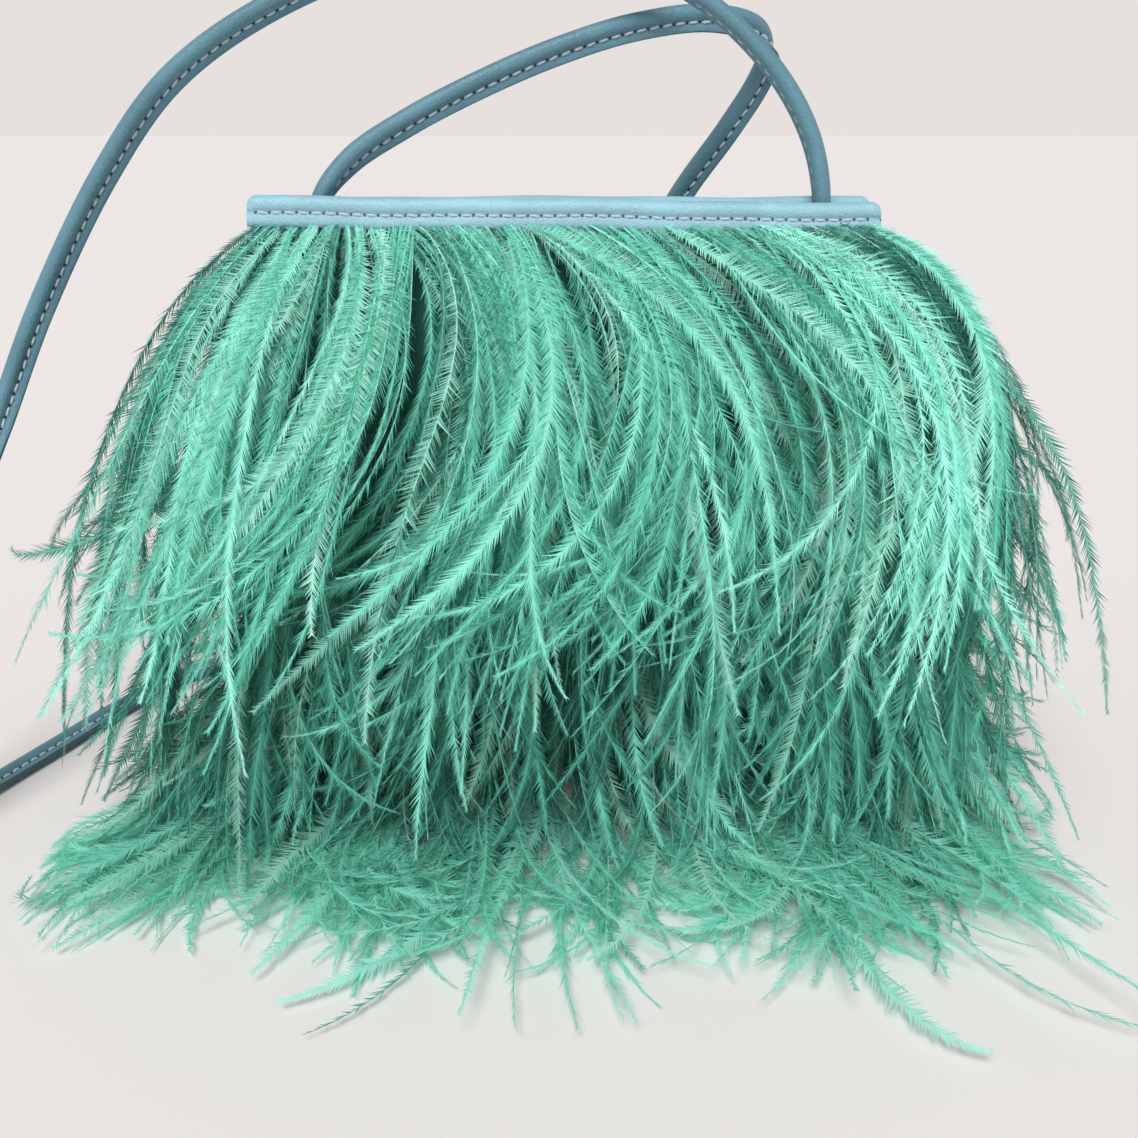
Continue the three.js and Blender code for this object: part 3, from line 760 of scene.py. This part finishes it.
# painted light: a lighter copy of the mint for the row on the table, for the light from the pale table
TABLE_LIT_MINT = feather("feather_mint_table_lit", (0.45, 0.96, 0.83), (0.24, 0.77, 0.62), (0.05, 0.33, 0.25),
                     (0.55, 0.84, 0.75), glow_share=0.45, painted_root_shade=0.85)

# ---- Flues: their lines -------------------------------------------------------------------------------
FLOOR_CLEARANCE = 0.6 * MM
BED_DEPTH = 5 * MM  # how high flues pile up on the table
WOBBLE = (0.02, 0.14)  # radians to either side
SPREAD_FROM, SPREAD_ROOM = 0.150, 0.023  # flues that spread further than the first end within the second


def eased(start, end, u, power):
    return start + (end - start) * u**power


def flue_lines(rng, root, length, lateral, turning, outward, curl, landing, steps):
    """Points along every flue. lateral and outward are (start, end) angles of its direction: to the side,
    and away from straight down. turning is how early the first changes, curl turns the tip aside, and
    below landing the flue bends out over the table."""
    points = np.empty((len(root), steps + 1, 3))
    points[:, 0] = root
    step = length / steps
    phase = rng.uniform(0, 2 * math.pi, len(root))
    wobble = rng.uniform(*WOBBLE, len(root))
    bed = FLOOR_CLEARANCE + rng.uniform(0, BED_DEPTH, len(root))
    for k in range(steps):
        u = (k + 0.5) / steps
        side = eased(*lateral[::-1], 1 - u, turning) + curl * u**2.5 + wobble * np.sin(phase + u * 7)
        out = eased(*outward, u, 1.1)
        low = np.clip(1 - (points[:, k, 2] - bed) / landing, 0, 1) ** 1.6
        out = out + (math.pi / 2 - out) * low
        ahead = np.stack([np.sin(side), -np.cos(side) * np.sin(out), -np.cos(side) * np.cos(out)], 1)
        points[:, k + 1] = points[:, k] + ahead * step[:, None]
        points[:, k + 1, 2] = np.maximum(points[:, k + 1, 2], bed)
    for axis in (0, 1):
        beyond = np.maximum(np.abs(points[..., axis]) - SPREAD_FROM, 0)
        kept = SPREAD_ROOM * np.tanh(beyond / SPREAD_ROOM)
        points[..., axis] -= np.sign(points[..., axis]) * (beyond - kept)
    return points


# ---- Flues: their vanes and quills ----------------------------------------------------------------------
EDGE_ON_SHARE, EDGE_ON_TWIST = 0.2, 1.2  # flues seen from their side, and by how many radians they are turned
VANE_OPENING = (34, 10)  # degrees from the quill to its barbules, and how much flues differ
VANE_OPENING_LIMITS = (16, 52)
FADED_OPENING = 58
CLUMP = 3  # barbules that lean together
SHORTEST_BARBULE = 0.2 * MM
LOWEST_POINT = 0.3 * MM
QUILL_SIDES = 3
QUILL_EVERY = 8  # points of the line between two rings of the quill
QUILL_RADIUS, QUILL_TIP = 0.3, 0.03  # in millimetres


def between(values):
    """The middle of each two neighbours along a flue."""
    return (values[:, 1:] + values[:, :-1]) / 2


def flue_frames(rng, lines, u):
    """Directions along each flue, across its vane and out of it. Vanes are twisted about their quills."""
    count = len(lines)
    ahead = unit(np.gradient(lines, axis=1))
    sideways = unit(np.array([1.0, 0, 0]) - ahead * ahead[..., :1])
    facing = np.cross(ahead, sideways)
    edge_on = rng.random((count, 1)) < EDGE_ON_SHARE
    turned = rng.choice([-1, 1], (count, 1)) * EDGE_ON_TWIST
    twist = np.where(edge_on, turned, rng.normal(0, 0.4, (count, 1)))
    twist = (twist + rng.normal(0, 0.6, (count, 1)) * u)[..., None]
    return (ahead, sideways * np.cos(twist) + facing * np.sin(twist),
            facing * np.cos(twist) - sideways * np.sin(twist))


def barbules(rng, lines, frames, u, size, tone_and_shade, faded):
    """Ends of the barbules on both sides of each flue, and their values of tone and painted shade."""
    count, steps = len(lines), lines.shape[1] - 1
    middle = between(u)
    base = between(lines)
    ahead, sideways, facing = (between(direction) for direction in frames)
    taper = np.minimum(1, 0.25 + middle * 4) * np.clip((1.02 - middle) / 0.25, 0.2, 1) ** 0.7
    fold = rng.normal(0.2, 0.3, (count, 1))
    opening = np.clip(rng.normal(*VANE_OPENING, (count, 1)), *VANE_OPENING_LIMITS)
    opening = np.radians(np.where(faded[:, None] > 0, FADED_OPENING, opening))
    ends, tones_and_shades = [], []
    for hand in (1, -1):
        clumping = rng.normal(0, 1, (count, steps // CLUMP + 2))
        clumping = np.repeat(clumping, CLUMP, axis=1)[:, :steps]
        angle = opening * (1 - 0.3 * middle) + 0.06 * clumping + rng.normal(0, 0.05, (count, steps))
        length = size[:, None] * taper * (1 + 0.07 * clumping + rng.normal(0, 0.1, (count, steps)))
        length = np.maximum(length, SHORTEST_BARBULE)[..., None]
        lift = fold + rng.normal(0, 0.3, (count, steps)) + 0.15 * clumping
        spread = sideways * (hand * np.cos(lift) * np.sin(angle))[..., None]
        spread += facing * (np.sin(lift) * np.sin(angle))[..., None]
        ends.append(base + (spread + ahead * np.cos(angle)[..., None]) * length)
        tones_and_shades.append(tone_and_shade[:, None] + 0.12 * clumping + rng.normal(0, 0.16, (count, steps)))
    return ends, tones_and_shades


def quills(lines, frames, u):
    """Rings of points of thin tubes that end in a point, and how far along each ring is."""
    pick = np.unique(np.append(np.arange(0, lines.shape[1], QUILL_EVERY), lines.shape[1] - 1))
    reach = u[0, pick]
    radius = (QUILL_RADIUS * (1 - reach) ** 0.6 + QUILL_TIP) * MM
    turn = (np.arange(QUILL_SIDES) * 2 * math.pi / QUILL_SIDES + math.pi / 2)[:, None]
    _, sideways, facing = frames
    ring = sideways[:, pick, None] * np.cos(turn) + facing[:, pick, None] * np.sin(turn)
    return lines[:, pick, None] + ring * radius[:, None, None], reach


def flue_meshes(rng, lines, size, tone_and_shade, faded):
    """Points, triangles and values of flues along these lines. Each has its vane, whose barbules are
    triangles on the line, and its quill."""
    count, knots = lines.shape[:2]
    steps = knots - 1
    u = np.linspace(0, 1, knots)[None]
    frames = flue_frames(rng, lines, u)
    ends, tones_and_shades = barbules(rng, lines, frames, u, size, tone_and_shade, faded)
    vane = np.concatenate([lines, *ends], 1)
    first = np.arange(count)[:, None] * vane.shape[1]
    k = np.arange(steps)[None]
    left = np.stack([first + k, first + k + 1, first + knots + k], -1)
    right = np.stack([first + k + 1, first + k, first + knots + steps + k], -1)
    quill, quill_reach = quills(lines, frames, u)
    quill_points = quill.shape[1] * QUILL_SIDES
    quill_faces = repeated_faces(loft_faces(quill.shape[1], QUILL_SIDES), count, quill_points,
                                 first=count * vane.shape[1])
    points = np.concatenate([vane.reshape(-1, 3), quill.reshape(-1, 3)])
    points[:, 2] = np.maximum(points[:, 2], LOWEST_POINT)
    reach = np.concatenate([u, between(u), between(u)], 1)
    edge = np.concatenate([np.zeros(knots), np.ones(2 * steps)])
    tones_and_shades = np.clip(np.concatenate([np.repeat(tone_and_shade[:, None], knots, 1), *tones_and_shades], 1), 0, 1)
    values = {
        "reach": np.concatenate([np.tile(reach.ravel(), count),
                                 np.tile(np.repeat(quill_reach, QUILL_SIDES), count)]),
        "edge": np.concatenate([np.tile(edge, count), np.zeros(count * quill_points)]),
        "tone_and_shade": np.concatenate([tones_and_shades.ravel(), np.repeat(tone_and_shade, quill_points)]),
        "faded": np.concatenate([np.repeat(faded, vane.shape[1]), np.repeat(faded, quill_points)]),
    }
    return points, [left.reshape(-1, 3), right.reshape(-1, 3), *quill_faces], values


# ---- Feather rows ---------------------------------------------------------------------------------------
# Each row, from the top: height of its roots up the half, its flues, their length and its steps, the angles
# of their directions in degrees at the root and at the tip, for the innermost and the outermost flues, the
# height at which they bend out over the table, its layers, and the tones_and_shades of the innermost and the
# outermost, which paint shade on the inner flues that the outer ones cover
ROWS = {
    "front": [
        dict(height=199, count=500, length=164, steps=200, out_root=(12, 54), out_tip=(6, 22), landing=4,
             layers=2, tones_and_shades=(1.0, 0.25), finish=MINT),
        dict(height=127, count=380, length=134, steps=165, out_root=(18, 52), out_tip=(8, 24), landing=16,
             layers=1, tones_and_shades=(1.0, 0.35), finish=SHADED_MINT),
        dict(height=63, count=300, length=98, steps=120, out_root=(20, 64), out_tip=(24, 50), landing=20,
             layers=1, tones_and_shades=(1.0, 0.35), finish=SHADED_MINT),
        dict(height=9, count=330, length=115, steps=120, out_root=(60, 86), out_tip=(84, 98), landing=14,
             layers=1, tones_and_shades=(0.55, 0.2), finish=TABLE_LIT_MINT),
    ],
    "back": [
        dict(height=199, count=260, length=146, steps=130, out_root=(8, 36), out_tip=(6, 18), landing=4,
             layers=1, tones_and_shades=(1.0, 0.25), finish=MINT),
        dict(height=127, count=190, length=120, steps=110, out_root=(10, 34), out_tip=(6, 18), landing=12,
             layers=1, tones_and_shades=(1.0, 0.35), finish=SHADED_MINT),
        dict(height=63, count=130, length=70, steps=70, out_root=(14, 40), out_tip=(18, 40), landing=14,
             layers=1, tones_and_shades=(1.0, 0.35), finish=SHADED_MINT),
        dict(height=9, count=140, length=62, steps=70, out_root=(58, 88), out_tip=(84, 98), landing=14,
             layers=1, tones_and_shades=(0.5, 0.2), finish=TABLE_LIT_MINT),
    ],
}
TABLE_ROW = 3
ROOT_HALF_WIDTH = 102 * MM
ROOT_OUT = 2.3 * MM
ROOT_HEIGHTS = (-1.5 * MM, 0.5 * MM)  # how unevenly the roots are sewn in
END_CROWDING = (0.85, 0.7, 0.7, 0.85)  # of each row: below 1, flues stand closer together towards the ends
FLUES_IN_A_LOCK = 6
# painted shade on the under layer of a row of two, and painted light on the layer over it
LAYER_SHADES = (0.22, -0.14)  # the under layer of a row of two is darker
GATHERING = (0.2, 0.8)  # how much the flues of each layer lean towards the middle of their lock
FADED_SHARE, FADING = 0.1, (0.6, 1.0)
BARBULE_LENGTHS = (5.0 * MM, 7.6 * MM)
STRAY_SHARE, STRAY_LENGTH = 0.05, 1.4  # flues of the table row that are longer, and how much
TABLE_CURLING = 2.2
# How much flues differ: from lock to lock, and within a lock
TINT_SPREAD, LENGTH_SPREAD = (0.16, 0.16), (0.06, 0.07)
ROOT_SPREAD, TIP_SPREAD, CURL_SPREAD = (12, 8), (15, 10), (26, 28)  # in degrees
END_CALM = ((0.6, 1), (1, 0.45))  # towards the rims' ends, flues keep more strictly to the flow
# How the flues of the upper two rows lean along the width, and those of the lower two: place in millimetres,
# then degrees at the root and at the tip, and how early they turn from one to the other
UPPER_FLOW = {
    "front": [
        (-103, -50, -4, 1.8), (-97, -32, -8, 1.5), (-84, -12, -16, 1.5), (-66, 10, -30, 1.5),
        (-42, 30, -32, 1.5), (-15, 42, -12, 1.5), (20, 48, 6, 1.5), (55, 50, 8, 1.5), (85, 54, -2, 2.2),
        (103, 66, -6, 2.6),
    ],
    "back": [(-103, -32, 4, 2), (-60, -10, -4, 1.5), (0, 6, -4, 1.5), (60, 16, 4, 1.5), (103, 34, -6, 2)],
}
LOWER_FLOW = [(-103, -52, -30, 1.5), (0, 0, 0, 1.5), (103, 52, 30, 1.5)]


def fringe_flues(rng, side, index, row, layer):
    """Points, triangles and values of one layer of a row. Flues stand in locks that share part of their
    depth, tone and painted shade, length and lean."""
    count = row["count"] // row["layers"]
    place = np.sort(rng.uniform(-1, 1, count))
    x = np.sign(place) * np.abs(place) ** END_CROWDING[index] * ROOT_HALF_WIDTH
    locks = np.sort(rng.uniform(-1.05, 1.05, count // FLUES_IN_A_LOCK)) * ROOT_HALF_WIDTH
    lock = np.clip(np.searchsorted(locks, x), 0, len(locks) - 1)

    def varied(between_locks, within_lock):
        return rng.normal(0, between_locks, len(locks))[lock] + rng.normal(0, within_lock, count)

    depth = np.clip(rng.uniform(-0.1, 1.1, len(locks))[lock] * 0.7 + rng.uniform(0, 0.3, count), 0, 1)
    # painted shade: the inner flues, under the others, get a darker value
    tone_and_shade = row["tones_and_shades"][0] + (row["tones_and_shades"][1] - row["tones_and_shades"][0]) * depth
    tone_and_shade = np.clip(tone_and_shade + varied(*TINT_SPREAD), 0, 1)
    faded = (rng.random(count) < FADED_SHARE) * rng.uniform(*FADING, count)
    if row["layers"] > 1:
        depth = (depth + layer) / row["layers"]
        tone_and_shade = np.clip(tone_and_shade + LAYER_SHADES[layer], 0, 1)
    length = row["length"] * MM * (1 + varied(*LENGTH_SPREAD))
    if index == TABLE_ROW:
        length = length * np.where(rng.random(count) < STRAY_SHARE, STRAY_LENGTH, 1)
    flow = np.array(UPPER_FLOW[side] if index < 2 else LOWER_FLOW, float)
    start, end, turning = (np.interp(x / MM, flow[:, 0], flow[:, k]) for k in (1, 2, 3))
    loose = np.interp(np.abs(place), *END_CALM)
    start = start + varied(*ROOT_SPREAD) * loose
    end = end + varied(*TIP_SPREAD) * loose
    gather = np.degrees((locks[lock] - x) / length) * GATHERING[layer]
    lateral = (np.radians(start + gather), np.radians(end + gather))
    curl = np.radians(varied(*CURL_SPREAD)) * loose
    if index == TABLE_ROW:
        curl = curl * TABLE_CURLING
    height = row["height"] * MM + rng.uniform(*ROOT_HEIGHTS, count)
    root = half_points("front", np.stack([x, np.full(count, -ROOT_OUT), height], -1))
    outward = []
    for innermost, outermost in (np.radians(row["out_root"]), np.radians(row["out_tip"])):
        outward.append(innermost + (outermost - innermost) * depth)
    lines = flue_lines(rng, root, length, lateral, turning, outward, curl, row["landing"] * MM, row["steps"])
    return flue_meshes(rng, lines, rng.uniform(*BARBULE_LENGTHS, count), tone_and_shade, faded)


def fringe(side, index, row, layer):
    rng = np.random.default_rng(100 * index + 10 * layer + (side == "back"))
    points, faces, values = fringe_flues(rng, side, index, row, layer)
    name = f"{side}_flues_{index + 1}" + ("_over" if layer else "")
    if side == "back":
        points = points * np.array([-1, -1, 1])
    piece = mesh_piece(name, points, faces, row["finish"], smooth=False, **values)
    if side == "back":
        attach(piece, "root")
    else:
        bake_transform(piece)
    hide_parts(f"{side}_feathers_{index + 1}")


for side, rows in ROWS.items():
    for index, row in enumerate(rows):
        for layer in range(row["layers"]):
            fringe(side, index, row, layer)


# ---- Floor and light --------------------------------------------------------------------------------
FLOOR_SIZE = 60
WALL_COLOUR, CEILING_COLOUR = (0.80, 0.75, 0.73, 1), (0.2, 0.195, 0.195, 1)
WALL_TOP, CEILING_START = 0.35, 0.8  # upward parts of the directions between which one turns into the other
SUN_ENERGY = 2.45
SUN_WIDTH = math.radians(25)
SUN_TURN = (math.radians(38), 0, math.radians(-12))


def floor():
    bpy.ops.mesh.primitive_plane_add(size=FLOOR_SIZE, location=(0, 0, 0))
    ground = bpy.context.object
    ground.name = "floor"
    finish = Finish("floor_pale", 0.7, Specular_IOR_Level=0.2)
    finish.colour(finish.mix(finish.noise(3, 1), (0.83, 0.80, 0.79), (0.85, 0.82, 0.81)))
    ground.data.materials.append(finish.material)


def surroundings():
    """A pale wall all round that turns into a darker ceiling."""
    world = bpy.data.worlds.new("studio")
    world.use_nodes = True
    tree = world.node_tree
    direction = tree.nodes.new("ShaderNodeTexCoord").outputs["Generated"]
    split = tree.nodes.new("ShaderNodeSeparateXYZ")
    tree.links.new(direction, split.inputs[0])
    height = tree.nodes.new("ShaderNodeMapRange")
    height.inputs["From Min"].default_value = WALL_TOP
    height.inputs["From Max"].default_value = CEILING_START
    tree.links.new(split.outputs["Z"], height.inputs["Value"])
    sky = tree.nodes.new("ShaderNodeMix")
    sky.data_type = "RGBA"
    tree.links.new(height.outputs["Result"], sky.inputs["Factor"])
    wall, ceiling = [s for s in sky.inputs if s.type == "RGBA"]
    wall.default_value = WALL_COLOUR
    ceiling.default_value = CEILING_COLOUR
    colour = next(s for s in sky.outputs if s.type == "RGBA")
    tree.links.new(colour, tree.nodes["Background"].inputs["Color"])
    bpy.context.scene.world = world


def key_light():
    """A wide soft light from the front, above and a little to the left."""
    sun = bpy.data.lights.new("key", "SUN")
    sun.energy = SUN_ENERGY
    sun.angle = SUN_WIDTH
    key = bpy.data.objects.new("key", sun)
    key.rotation_euler = SUN_TURN
    bpy.context.scene.collection.objects.link(key)


floor()
surroundings()
key_light()
bpy.context.scene.view_settings.view_transform = "Standard"
